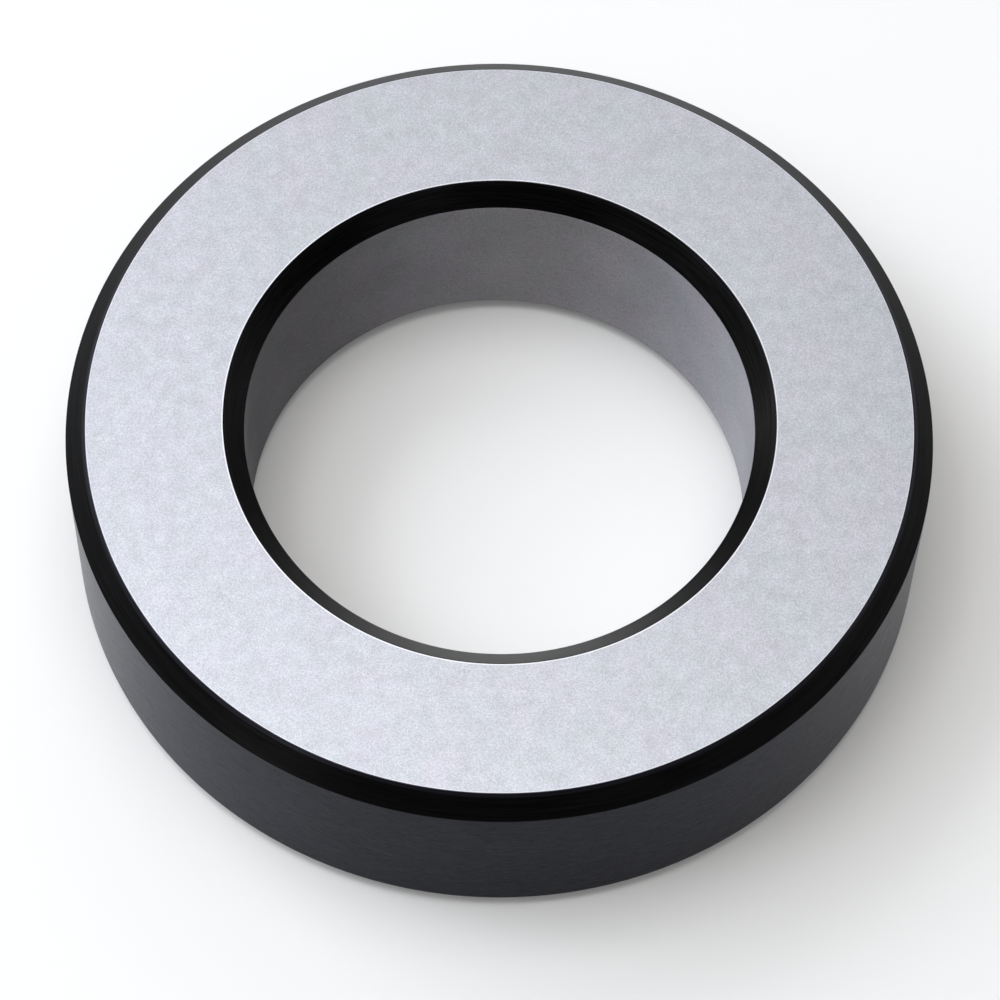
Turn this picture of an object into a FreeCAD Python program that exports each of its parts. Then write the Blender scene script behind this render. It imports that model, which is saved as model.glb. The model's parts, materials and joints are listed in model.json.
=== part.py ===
import FreeCAD, Part
import Sketcher
import os

# Setting ring gauge, 50 mm nominal bore. The real thing is one solid steel ring: turned, hardened,
# blackened all over, then ground and lapped bright on both flat faces and in the bore. The rim and
# the chamfers keep their black finish. It is modelled as it is made: a turned blank, chamfered at
# both rim edges and at both mouths of the bore, with the corners of each chamfer lightly broken.
# The origin is the centre of the lower face, with +Z up along the bore.

# Driving dimensions, in millimetres
DIMENSIONS = [
    ("bore_diameter", 50.0, "gauging bore, ground and lapped"),
    ("outside_diameter", 85.0, "blackened rim"),
    ("thickness", 22.0, "between the two lapped faces"),
    ("rim_chamfer", 2.0, "width of the 45 degree chamfer round each rim edge"),
    ("bore_chamfer", 2.0, "width of the 45 degree lead-in at each mouth of the bore"),
    ("edge_break", 0.15, "radius that takes the sharpness off the corners of each chamfer"),
]
FULL_TURN = 360.0

# How a sketch numbers a line's ends, its own X axis and its own origin point
START = 1
END = 2
X_AXIS = -1
ORIGIN_POINT = (-1, 1)


def make_sheet(doc):
    """Puts every driving dimension in a spreadsheet cell with an alias of its own."""
    sheet = doc.addObject("Spreadsheet::Sheet", "Dimensions")
    for row, (alias, value, meaning) in enumerate(DIMENSIONS, start=1):
        sheet.set(f"A{row}", alias)
        sheet.set(f"B{row}", str(value))
        sheet.set(f"C{row}", meaning)
        sheet.setAlias(f"B{row}", alias)
    doc.recompute()
    return sheet


def origin_plane(body, role):
    """One of the body's own origin planes."""
    return next(feature for feature in body.Origin.OriginFeatures if feature.Role == role)


def draw_section(body, sheet):
    """Half section of the blank: a rectangle from the bore to the rim, standing on the lower face."""
    sketch = body.newObject("Sketcher::SketchObject", "RingSection")
    sketch.AttachmentSupport = (origin_plane(body, "XZ_Plane"), [""])
    sketch.MapMode = "FlatFace"

    bore_radius = sheet.bore_diameter / 2
    rim_radius = sheet.outside_diameter / 2
    lower_bore = FreeCAD.Vector(bore_radius, 0, 0)
    lower_rim = FreeCAD.Vector(rim_radius, 0, 0)
    upper_rim = FreeCAD.Vector(rim_radius, sheet.thickness, 0)
    upper_bore = FreeCAD.Vector(bore_radius, sheet.thickness, 0)
    lower = sketch.addGeometry(Part.LineSegment(lower_bore, lower_rim), False)
    rim = sketch.addGeometry(Part.LineSegment(lower_rim, upper_rim), False)
    upper = sketch.addGeometry(Part.LineSegment(upper_rim, upper_bore), False)
    bore = sketch.addGeometry(Part.LineSegment(upper_bore, lower_bore), False)

    for line, following in ((lower, rim), (rim, upper), (upper, bore), (bore, lower)):
        sketch.addConstraint(Sketcher.Constraint("Coincident", line, END, following, START))
    for line in (lower, upper):
        sketch.addConstraint(Sketcher.Constraint("Horizontal", line))
    for line in (rim, bore):
        sketch.addConstraint(Sketcher.Constraint("Vertical", line))
    sketch.addConstraint(Sketcher.Constraint("PointOnObject", lower, START, X_AXIS))

    sizes = [
        ("bore_radius", "DistanceX", (lower, START), bore_radius, "Dimensions.bore_diameter / 2"),
        ("rim_radius", "DistanceX", (lower, END), rim_radius, "Dimensions.outside_diameter / 2"),
        ("ring_height", "DistanceY", (rim, END), sheet.thickness, "Dimensions.thickness"),
    ]
    for name, kind, point, length, expression in sizes:
        index = sketch.addConstraint(Sketcher.Constraint(kind, *ORIGIN_POINT, *point, length))
        sketch.renameConstraint(index, name)
        sketch.setExpression(f"Constraints.{name}", expression)
    return sketch


def turn_blank(body, sketch):
    """Turns the section round the bore's axis into a plain ring."""
    blank = body.newObject("PartDesign::Revolution", "TurnedBlank")
    blank.Profile = sketch
    blank.ReferenceAxis = (sketch, ["V_Axis"])
    blank.Angle = FULL_TURN
    return blank


def circle_edges(shape, corners):
    """Names of the shape's round edges that lie at the given corners, each a radius and a height."""
    names = []
    for number, edge in enumerate(shape.Edges, start=1):
        if not isinstance(edge.Curve, Part.Circle):
            continue
        for radius, height in corners:
            same_radius = abs(edge.Curve.Radius - radius) < edge.Tolerance
            same_height = abs(edge.Curve.Center.z - height) < edge.Tolerance
            if same_radius and same_height:
                names.append(f"Edge{number}")
    return names


def chamfer_corners(body, name, base, corners, width_alias):
    """Cuts a 45 degree chamfer of the named width at the given corners."""
    chamfer = body.newObject("PartDesign::Chamfer", name)
    chamfer.Base = (base, circle_edges(base.Shape, corners))
    chamfer.setExpression("Size", f"Dimensions.{width_alias}")
    return chamfer


def break_corners(body, base, corners):
    """Rounds the given corners by the edge break."""
    breaks = body.newObject("PartDesign::Fillet", "EdgeBreaks")
    breaks.Base = (base, circle_edges(base.Shape, corners))
    breaks.setExpression("Radius", "Dimensions.edge_break")
    return breaks


def make_ring(doc, sheet):
    """The whole ring, as one body."""
    body = doc.addObject("PartDesign::Body", "SettingRing")
    body.Label = "setting_ring"
    blank = turn_blank(body, draw_section(body, sheet))
    doc.recompute()

    bore_radius = sheet.bore_diameter / 2
    rim_radius = sheet.outside_diameter / 2
    lower_face = 0.0
    upper_face = sheet.thickness
    rim_corners = [(rim_radius, lower_face), (rim_radius, upper_face)]
    rim_chamfers = chamfer_corners(body, "RimChamfers", blank, rim_corners, "rim_chamfer")
    doc.recompute()
    bore_corners = [(bore_radius, lower_face), (bore_radius, upper_face)]
    lead_ins = chamfer_corners(body, "BoreLeadIns", rim_chamfers, bore_corners, "bore_chamfer")
    doc.recompute()

    # Each chamfer has one corner on a flat face, and one on the rim or in the bore
    chamfer_ends = []
    for face, inward in ((lower_face, 1), (upper_face, -1)):
        chamfer_ends += [
            (rim_radius - sheet.rim_chamfer, face),
            (rim_radius, face + inward * sheet.rim_chamfer),
            (bore_radius + sheet.bore_chamfer, face),
            (bore_radius, face + inward * sheet.bore_chamfer),
        ]
    body.Tip = break_corners(body, lead_ins, chamfer_ends)
    doc.recompute()
    return body


def check(doc, parts):
    """Stops before anything is written if an object failed or a shape is not sound."""
    for thing in doc.Objects:
        if "Invalid" in thing.State or "Error" in thing.State:
            raise RuntimeError(f"{thing.Label} failed: {thing.State}")
    for part in parts:
        if part.Shape.isNull() or not part.Shape.isValid() or len(part.Shape.Solids) != 1:
            raise RuntimeError(f"{part.Label} is not one valid solid")


def main():
    doc = FreeCAD.newDocument("SettingRingGauge")
    sheet = make_sheet(doc)
    parts = [make_ring(doc, sheet)]
    check(doc, parts)
    os.makedirs("parts", exist_ok=True)
    for part in parts:
        part.Shape.exportStep(f"parts/{part.Label}.step")
        box = part.Shape.optimalBoundingBox(False)
        print(f"{part.Label}: {box.XLength:.3f} x {box.YLength:.3f} x {box.ZLength:.3f} mm, "
              f"{part.Shape.Volume:.1f} mm3, {len(part.Shape.Faces)} faces")


main()
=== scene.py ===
import json
import math

import bpy
from mathutils import Matrix, Vector


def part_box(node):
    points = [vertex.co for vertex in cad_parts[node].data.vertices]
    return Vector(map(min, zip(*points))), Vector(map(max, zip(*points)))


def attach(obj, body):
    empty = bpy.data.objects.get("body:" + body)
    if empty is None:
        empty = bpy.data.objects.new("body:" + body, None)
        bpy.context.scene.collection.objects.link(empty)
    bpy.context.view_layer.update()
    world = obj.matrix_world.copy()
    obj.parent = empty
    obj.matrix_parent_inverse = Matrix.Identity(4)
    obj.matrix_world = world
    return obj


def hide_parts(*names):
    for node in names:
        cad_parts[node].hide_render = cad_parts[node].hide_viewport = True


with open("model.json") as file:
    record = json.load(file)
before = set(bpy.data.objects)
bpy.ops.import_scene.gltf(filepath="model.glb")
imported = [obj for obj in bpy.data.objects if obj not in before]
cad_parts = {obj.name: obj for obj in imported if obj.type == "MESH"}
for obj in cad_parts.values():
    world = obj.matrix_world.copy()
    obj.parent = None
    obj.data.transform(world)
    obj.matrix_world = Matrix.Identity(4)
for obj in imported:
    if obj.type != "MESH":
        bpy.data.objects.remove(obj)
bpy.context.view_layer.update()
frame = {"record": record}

# The ring, in metres. Its diameters and thickness come from the frame.
NODE = "setting_ring"
MOUNTS = {mount["name"]: mount for mount in frame["record"]["mounts"]}
LOW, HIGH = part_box(NODE)
THICKNESS = HIGH.z - LOW.z
RIM_RADIUS = min(HIGH.x, HIGH.y, -LOW.x, -LOW.y)
BORE_RADIUS = MOUNTS["gauge_bore"]["dims"]["r_mm"] / 1000
RIM_CHAMFER = 0.002
BORE_CHAMFER = 0.002
EDGE_BREAK = 0.00015
SEGMENTS = 720
STEPS_PER_BREAK = 6

# Widths of the bright lines along the two edges of a flat face, rubbed bright and painted paler as
# highlights, and of the greyer black beside it, a painted reflection
BORE_LINE = 0.00012
RIM_LINE = 0.00008
SHEEN_BAND = 0.0004

# The camera, at the photograph's viewing angle. It aims near the middle of the upper face.
CAMERA_ELEVATION = math.radians(61.773)
CAMERA_ROLL = math.radians(1.531)
CAMERA_DISTANCE = 0.41806
CAMERA_TARGET = Vector((0.000225, -0.009425, THICKNESS))
SENSOR_WIDTH = 36.0
LENS = 155.78

# The floor curves up into a low round backdrop. It lies a hair under the ring.
FLOOR_DROP = 0.00001
FLOOR_MIDDLE = 0.2
FLOOR_RADIUS = 1.5
BACKDROP_CURVE = 0.25
BACKDROP_HEIGHT = 0.4
CURVE_STEPS = 12
FLOOR_SIDES = 96
FLOOR_COLOUR = (0.814, 0.802, 0.782, 1.0)
FLOOR_GLOW = 0.10

# Square soft lamps: name, bearing from +X and elevation in degrees, size in metres, radiance and colour
COOL = (0.93, 0.98, 1.06)
WHITE = (1.0, 1.0, 1.0)
LAMPS = [
    ("left", 185, 45, 0.7, 1.52, COOL),
    ("left_high", 185, 65, 0.6, 2.91, COOL),
    ("left_back", 150, 45, 0.7, 3.94, COOL),
    ("back", 90, 45, 0.7, 1.09, WHITE),
    ("overhead", 90, 88, 0.7, 2.90, WHITE),
    ("front_high", 250, 70, 0.7, 1.61, WHITE),
    ("left_back_low", 148, 12, 0.4, 0.60, WHITE),
    ("front_left_low", 225, 15, 0.4, 0.67, WHITE),
    ("front_right", 305, 45, 0.6, 0.36, COOL),
]
LAMP_DISTANCE = 1.23
WORLD_STRENGTH = 0.05

# Where a Mix node keeps the sockets that it uses for colours
MIX_SHARE = 0
MIX_COLOURS = (6, 7)
MIX_RESULT = 2


def connect(tree, socket, value):
    """Sets a shader socket to a value, or links it to another node's socket."""
    if isinstance(value, bpy.types.NodeSocket):
        tree.links.new(value, socket)
    else:
        socket.default_value = value


def add_node(tree, kind, inputs, **settings):
    """Adds a shader node and fills in its named inputs. The result is its first output."""
    node = tree.nodes.new(kind)
    for name, value in settings.items():
        setattr(node, name, value)
    for name, value in inputs.items():
        connect(tree, node.inputs[name], value)
    return node.outputs[0]


def calculate(tree, operation, *values):
    """A Math node's result."""
    return add_node(tree, "ShaderNodeMath", dict(enumerate(values)), operation=operation)


def split(tree, vector):
    """A vector's X, Y and Z."""
    parts = tree.nodes.new("ShaderNodeSeparateXYZ")
    connect(tree, parts.inputs[0], vector)
    return parts.outputs


def object_place(tree):
    """A point's place on the ring, in metres."""
    return tree.nodes.new("ShaderNodeTexCoord").outputs["Object"]


def turned_place(tree, length, pitch):
    """A place for tool marks that run round the axis, about that long and that far apart in height."""
    x, y, z = split(tree, object_place(tree))
    flat = add_node(tree, "ShaderNodeCombineXYZ", {"X": x, "Y": y})
    way = add_node(tree, "ShaderNodeVectorMath", {0: flat}, operation="NORMALIZE")
    round_axis = split(tree, way)
    stretch = RIM_RADIUS / length
    return add_node(tree, "ShaderNodeCombineXYZ", {
        "X": calculate(tree, "MULTIPLY", round_axis["X"], stretch),
        "Y": calculate(tree, "MULTIPLY", round_axis["Y"], stretch),
        "Z": calculate(tree, "DIVIDE", z, pitch),
    })


def noise(tree, place, size, detail):
    """Noise from 0 to 1, with features of that size."""
    inputs = {"Vector": place, "Scale": 1 / size, "Detail": detail}
    return add_node(tree, "ShaderNodeTexNoise", inputs)


def turned_marks(tree, length, pitch, detail):
    """Noise drawn out round the axis, as fine tool marks."""
    return noise(tree, turned_place(tree, length, pitch), size=1.0, detail=detail)


def spread(tree, value, low, high):
    """Takes noise, which is nearly all from 0.3 to 0.7, to the range from low to high."""
    return add_node(tree, "ShaderNodeMapRange", {
        "Value": value,
        "From Min": 0.3,
        "From Max": 0.7,
        "To Min": low,
        "To Max": high,
    })


def shaded(tree, colour, *amounts):
    """A colour times each amount."""
    for amount in amounts:
        inputs = {0: colour, "Scale": amount}
        colour = add_node(tree, "ShaderNodeVectorMath", inputs, operation="SCALE")
    return colour


def mixed(tree, share, first, second):
    """A colour between two, by a share from 0 to 1."""
    node = tree.nodes.new("ShaderNodeMix")
    node.data_type = "RGBA"
    connect(tree, node.inputs[MIX_SHARE], share)
    for index, colour in zip(MIX_COLOURS, (first, second)):
        connect(tree, node.inputs[index], (*colour, 1.0))
    return node.outputs[MIX_RESULT]


def painted_sheen_band(tree):
    """A mask for a painted reflection: full beside the ring's two flat faces, fading to nothing at the
    band's depth.
    """
    height = split(tree, object_place(tree))["Z"]
    below = calculate(tree, "SUBTRACT", THICKNESS, height)
    depth = calculate(tree, "MINIMUM", height, below)
    return add_node(tree, "ShaderNodeMapRange", {
        "Value": depth,
        "From Min": SHEEN_BAND / 2,
        "From Max": SHEEN_BAND,
        "To Min": 1.0,
        "To Max": 0.0,
    }, interpolation_type="SMOOTHSTEP")


def new_material(name):
    """A metal's material, its node tree and its shader's sockets."""
    material = bpy.data.materials.new(name)
    material.use_nodes = True
    tree = material.node_tree
    surface = tree.nodes["Principled BSDF"].inputs
    connect(tree, surface["Metallic"], 1.0)
    return material, tree, surface


def lapped_face():
    """Ground and lapped flat: pale satin steel, with a fine shallow grain that has no direction."""
    material, tree, surface = new_material("lapped_face")
    place = object_place(tree)
    grain = noise(tree, place, size=0.000145, detail=1.0)
    cloud = noise(tree, place, size=0.0014, detail=3.0)
    tint = spread(tree, noise(tree, place, size=0.004, detail=5.0), 0.0, 1.0)
    violet_grey = (0.535, 0.525, 0.576)
    blue_grey = (0.516, 0.536, 0.564)
    steel = mixed(tree, tint, violet_grey, blue_grey)
    steel = shaded(tree, steel, spread(tree, grain, 0.84, 1.16), spread(tree, cloud, 0.94, 1.06))
    connect(tree, surface["Base Color"], steel)
    connect(tree, surface["Roughness"], spread(tree, cloud, 0.44, 0.48))
    bump = add_node(tree, "ShaderNodeBump", {"Height": grain, "Distance": 0.000004})
    connect(tree, surface["Normal"], bump)
    return material


def ground_bore():
    """Ground and lapped bore: greyer satin steel. Fine marks round it spread its shine up and down."""
    material, tree, surface = new_material("ground_bore")
    place = object_place(tree)
    grain = noise(tree, place, size=0.00016, detail=1.0)
    marks = turned_marks(tree, length=0.0015, pitch=0.00018, detail=2.0)
    stain = noise(tree, place, size=0.007, detail=4.0)
    tint = spread(tree, noise(tree, place, size=0.004, detail=3.0), 0.0, 1.0)
    violet_grey = (0.276, 0.254, 0.276)
    blue_grey = (0.258, 0.264, 0.270)
    steel = mixed(tree, tint, violet_grey, blue_grey)
    steel = shaded(tree, steel, spread(tree, grain, 0.82, 1.18), spread(tree, marks, 0.94, 1.06))
    steel = shaded(tree, steel, spread(tree, stain, 0.92, 1.08))
    connect(tree, surface["Base Color"], steel)
    connect(tree, surface["Roughness"], 0.54)
    connect(tree, surface["Anisotropic"], 1.0)
    connect(tree, surface["Anisotropic Rotation"], 0.25)
    round_axis = add_node(tree, "ShaderNodeTangent", {}, direction_type="RADIAL", axis="Z")
    connect(tree, surface["Tangent"], round_axis)
    return material


def black_rim():
    """Blackened rim: satin black steel with fine short marks round it."""
    material, tree, surface = new_material("black_rim")
    marks = turned_marks(tree, length=0.0015, pitch=0.00018, detail=3.0)
    cloud = noise(tree, object_place(tree), size=0.004, detail=3.0)
    blue_black = (0.0115, 0.0116, 0.0127)
    steel = shaded(tree, blue_black, spread(tree, marks, 0.4, 1.6), spread(tree, cloud, 0.9, 1.1))
    connect(tree, surface["Base Color"], steel)
    connect(tree, surface["Specular Tint"], (0.675, 0.68, 0.71, 1.0))
    connect(tree, surface["Roughness"], spread(tree, marks, 0.30, 0.24))
    return material


def blackened(name, black, sheen_black, contrast):
    """Blackened chamfer: long fine turning marks, and a greyer black along the lapped face that is a
    painted reflection of its rounded edge.
    """
    material, tree, surface = new_material(name)
    marks = turned_marks(tree, length=0.008, pitch=0.00012, detail=3.0)
    # Painted reflection: the greyer black along the lapped face stands in for the sheen on the rounded
    # edge.
    steel = mixed(tree, painted_sheen_band(tree), black, sheen_black)
    steel = shaded(tree, steel, spread(tree, marks, 1 - contrast, 1 + contrast))
    connect(tree, surface["Base Color"], steel)
    connect(tree, surface["Roughness"], 0.32)
    bump = add_node(tree, "ShaderNodeBump", {"Height": marks, "Distance": 0.00001 * contrast})
    connect(tree, surface["Normal"], bump)
    return material, tree, surface


def black_chamfer():
    """Rim chamfer: satin black with faint marks."""
    black = (0.0130, 0.0130, 0.0137)
    # The greyer, bluer black is a painted reflection along the lapped face.
    sheen_black = (0.034, 0.034, 0.043)
    material, tree, surface = blackened("black_chamfer", black, sheen_black, contrast=0.35)
    connect(tree, surface["Specular Tint"], (0.66, 0.66, 0.66, 1.0))
    return material


def black_lead_in():
    """Lead-in of the bore: a deeper black with plainer marks, under a thin film of oil."""
    black = (0.006, 0.006, 0.0062)
    # The greyer black is a painted reflection along the lapped face.
    sheen_black = (0.012, 0.012, 0.014)
    material, tree, surface = blackened("black_lead_in", black, sheen_black, contrast=0.7)
    connect(tree, surface["Coat Weight"], 1.0)
    connect(tree, surface["Coat IOR"], 1.2)
    connect(tree, surface["Coat Roughness"], 0.25)
    return material


def rubbed_and_highlit_line(name, colour):
    """Thin line of face beside an edge, rubbed bright, with a paler colour painted in as the edge's
    highlight.
    """
    material, tree, surface = new_material(name)
    wear = noise(tree, object_place(tree), size=0.0015, detail=3.0)
    # Painted highlight: the paler colour stands in for the bright line along the edge.
    connect(tree, surface["Base Color"], shaded(tree, colour, spread(tree, wear, 0.92, 1.05)))
    connect(tree, surface["Roughness"], 0.45)
    return material


def section_corners():
    """The section's corners in order: place, the finish of its break, and the next flat's bands.

    A band is a finish and a width, and the band with no width of its own takes what is left of the flat.
    """
    inner, outer, top = BORE_RADIUS, RIM_RADIUS, THICKNESS
    inner_face, outer_face = inner + BORE_CHAMFER, outer - RIM_CHAMFER
    face = [("bore_line", BORE_LINE), ("face", 0), ("rim_line", RIM_LINE)]
    chamfer, lead_in = [("chamfer", 0)], [("lead_in", 0)]
    return [
        ((inner_face, 0), "lead_in", face),
        ((outer_face, 0), "chamfer", chamfer),
        ((outer, RIM_CHAMFER), "chamfer", [("rim", 0)]),
        ((outer, top - RIM_CHAMFER), "chamfer", chamfer),
        ((outer_face, top), "chamfer", face[::-1]),
        ((inner_face, top), "lead_in", lead_in),
        ((inner, top - BORE_CHAMFER), "bore", [("bore", 0)]),
        ((inner, BORE_CHAMFER), "bore", lead_in),
    ]


def broken_corner(place, start, turn):
    """Points and outward angles round a corner that turns the section from one flat to the next."""
    before, after = (Vector((math.cos(angle), math.sin(angle))) for angle in (start, start + turn))
    centre = Vector(place) - EDGE_BREAK * (before + after) / (1 + before.dot(after))
    points = []
    for step in range(STEPS_PER_BREAK + 1):
        angle = start + turn * step / STEPS_PER_BREAK
        points.append((centre + EDGE_BREAK * Vector((math.cos(angle), math.sin(angle))), angle))
    return points


def ring_section():
    """The section's points in order, each with its outward angle and the finish up to the next point."""
    corners = section_corners()
    turn = math.tau / len(corners)
    breaks = []
    for index, (place, finish, bands) in enumerate(corners):
        start = (index - 1) * turn - math.pi / 2
        breaks.append(broken_corner(place, start, turn))
    section = []
    for index, (place, finish, bands) in enumerate(corners):
        section += [(point, angle, finish) for point, angle in breaks[index][:-1]]
        begin, angle = breaks[index][-1]
        end = breaks[(index + 1) % len(breaks)][0][0]
        flat = end - begin
        spare = flat.length - sum(width for band, width in bands)
        reach = 0
        for band, width in bands:
            section.append((begin + flat * reach / flat.length, angle, band))
            reach += width or spare
    return section


def turned_ring(materials):
    """The ring, turned from its section, with each vertex's true normal."""
    section = ring_section()
    count = len(section)
    finishes = list(materials)
    vertices, normals, faces, slots = [], [], [], []
    for segment in range(SEGMENTS):
        around = math.tau * segment / SEGMENTS
        out = Vector((math.cos(around), math.sin(around), 0))
        following = (segment + 1) % SEGMENTS
        for index, (point, angle, finish) in enumerate(section):
            vertices.append(out * point.x + Vector((0, 0, LOW.z + point.y)))
            normals.append(out * math.cos(angle) + Vector((0, 0, math.sin(angle))))
            beside = (index + 1) % count
            faces.append((
                segment * count + index,
                following * count + index,
                following * count + beside,
                segment * count + beside,
            ))
            slots.append(finishes.index(finish))
    mesh = bpy.data.meshes.new("setting_ring_finished")
    mesh.from_pydata(vertices, [], faces)
    for material in materials.values():
        mesh.materials.append(material)
    mesh.polygons.foreach_set("material_index", slots)
    mesh.shade_smooth()
    mesh.normals_split_custom_set_from_vertices(normals)
    ring = bpy.data.objects.new("setting_ring_finished", mesh)
    bpy.context.scene.collection.objects.link(ring)
    return ring


def pale_floor():
    """A plain pale material. Its faint glow shows to the camera and in reflections, and lights nothing."""
    material = bpy.data.materials.new("pale_floor")
    material.use_nodes = True
    tree = material.node_tree
    tree.nodes.remove(tree.nodes["Principled BSDF"])
    lit = add_node(tree, "ShaderNodeBsdfDiffuse", {"Color": FLOOR_COLOUR})
    path = tree.nodes.new("ShaderNodeLightPath").outputs
    mirrored = calculate(tree, "MAXIMUM", path["Is Glossy Ray"], path["Is Transmission Ray"])
    seen = calculate(tree, "MAXIMUM", path["Is Camera Ray"], mirrored)
    glow = calculate(tree, "MULTIPLY", seen, FLOOR_GLOW)
    own = add_node(tree, "ShaderNodeEmission", {"Strength": glow})
    both = add_node(tree, "ShaderNodeAddShader", {0: lit, 1: own})
    connect(tree, tree.nodes["Material Output"].inputs["Surface"], both)
    return material


def floor_profile():
    """Reach and height of the floor's rings, from its middle to the backdrop's top."""
    flat_end = FLOOR_RADIUS - BACKDROP_CURVE
    profile = [(0.0, 0.0), (FLOOR_MIDDLE, 0.0), (flat_end, 0.0)]
    for step in range(1, CURVE_STEPS + 1):
        angle = math.pi / 2 * step / CURVE_STEPS
        reach = flat_end + BACKDROP_CURVE * math.sin(angle)
        height = BACKDROP_CURVE - BACKDROP_CURVE * math.cos(angle)
        profile.append((reach, height))
    profile.append((FLOOR_RADIUS, BACKDROP_HEIGHT))
    return profile


def add_floor():
    """Turns the floor's profile into the floor and its backdrop."""
    profile = floor_profile()
    count = len(profile)
    vertices, faces = [], []
    for side in range(FLOOR_SIDES):
        around = math.tau * side / FLOOR_SIDES
        following = (side + 1) % FLOOR_SIDES
        for reach, height in profile:
            vertices.append((reach * math.cos(around), reach * math.sin(around), height - FLOOR_DROP))
        for index in range(count - 1):
            first = side * count + index
            second = following * count + index
            faces.append((first, second, second + 1, first + 1))
    mesh = bpy.data.meshes.new("floor")
    mesh.from_pydata(vertices, [], faces)
    mesh.shade_smooth()
    mesh.materials.append(pale_floor())
    floor = bpy.data.objects.new("floor", mesh)
    bpy.context.scene.collection.objects.link(floor)


def add_lamp(name, bearing, elevation, size, radiance, colour):
    """A square soft lamp aimed at the ring."""
    bearing = math.radians(bearing)
    elevation = math.radians(elevation)
    level = math.cos(elevation)
    way = Vector((level * math.cos(bearing), level * math.sin(bearing), math.sin(elevation)))
    light = bpy.data.lights.new(name, "AREA")
    light.shape = "SQUARE"
    light.size = size
    light.energy = radiance * math.pi * size * size
    light.color = colour
    lamp = bpy.data.objects.new(name, light)
    lamp.location = way * LAMP_DISTANCE
    lamp.rotation_euler = way.to_track_quat("Z", "Y").to_euler()
    lamp.visible_camera = False
    bpy.context.scene.collection.objects.link(lamp)


def add_world():
    """A faint even light from all round."""
    world = bpy.data.worlds.new("studio")
    world.use_nodes = True
    background = world.node_tree.nodes["Background"].inputs
    background["Color"].default_value = (1, 1, 1, 1)
    background["Strength"].default_value = WORLD_STRENGTH
    bpy.context.scene.world = world


def add_camera():
    """The camera looks along +Y and down, rolled as the photograph is."""
    back = Vector((0, -math.cos(CAMERA_ELEVATION), math.sin(CAMERA_ELEVATION)))
    level = Vector((1, 0, 0))
    up = back.cross(level)
    turned_right = level * math.cos(CAMERA_ROLL) + up * math.sin(CAMERA_ROLL)
    turned_up = up * math.cos(CAMERA_ROLL) - level * math.sin(CAMERA_ROLL)
    data = bpy.data.cameras.new("camera")
    data.sensor_width = SENSOR_WIDTH
    data.lens = LENS
    camera = bpy.data.objects.new("camera", data)
    axes = Matrix((turned_right, turned_up, back)).transposed().to_4x4()
    camera.matrix_world = Matrix.Translation(CAMERA_TARGET + back * CAMERA_DISTANCE) @ axes
    bpy.context.scene.collection.objects.link(camera)
    bpy.context.scene.camera = camera


ring = turned_ring({
    "face": lapped_face(),
    "bore": ground_bore(),
    "rim": black_rim(),
    "chamfer": black_chamfer(),
    "lead_in": black_lead_in(),
    # The two edge lines are rubbed bright, and their paler colours are painted highlights.
    "bore_line": rubbed_and_highlit_line("bore_edge_painted_highlight", (0.78, 0.78, 0.81)),
    "rim_line": rubbed_and_highlit_line("rim_edge_painted_highlight", (0.66, 0.66, 0.70)),
})
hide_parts(NODE)
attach(ring, "root")
add_floor()
add_world()
for lamp in LAMPS:
    add_lamp(*lamp)
add_camera()
bpy.context.scene.view_settings.view_transform = "Standard"
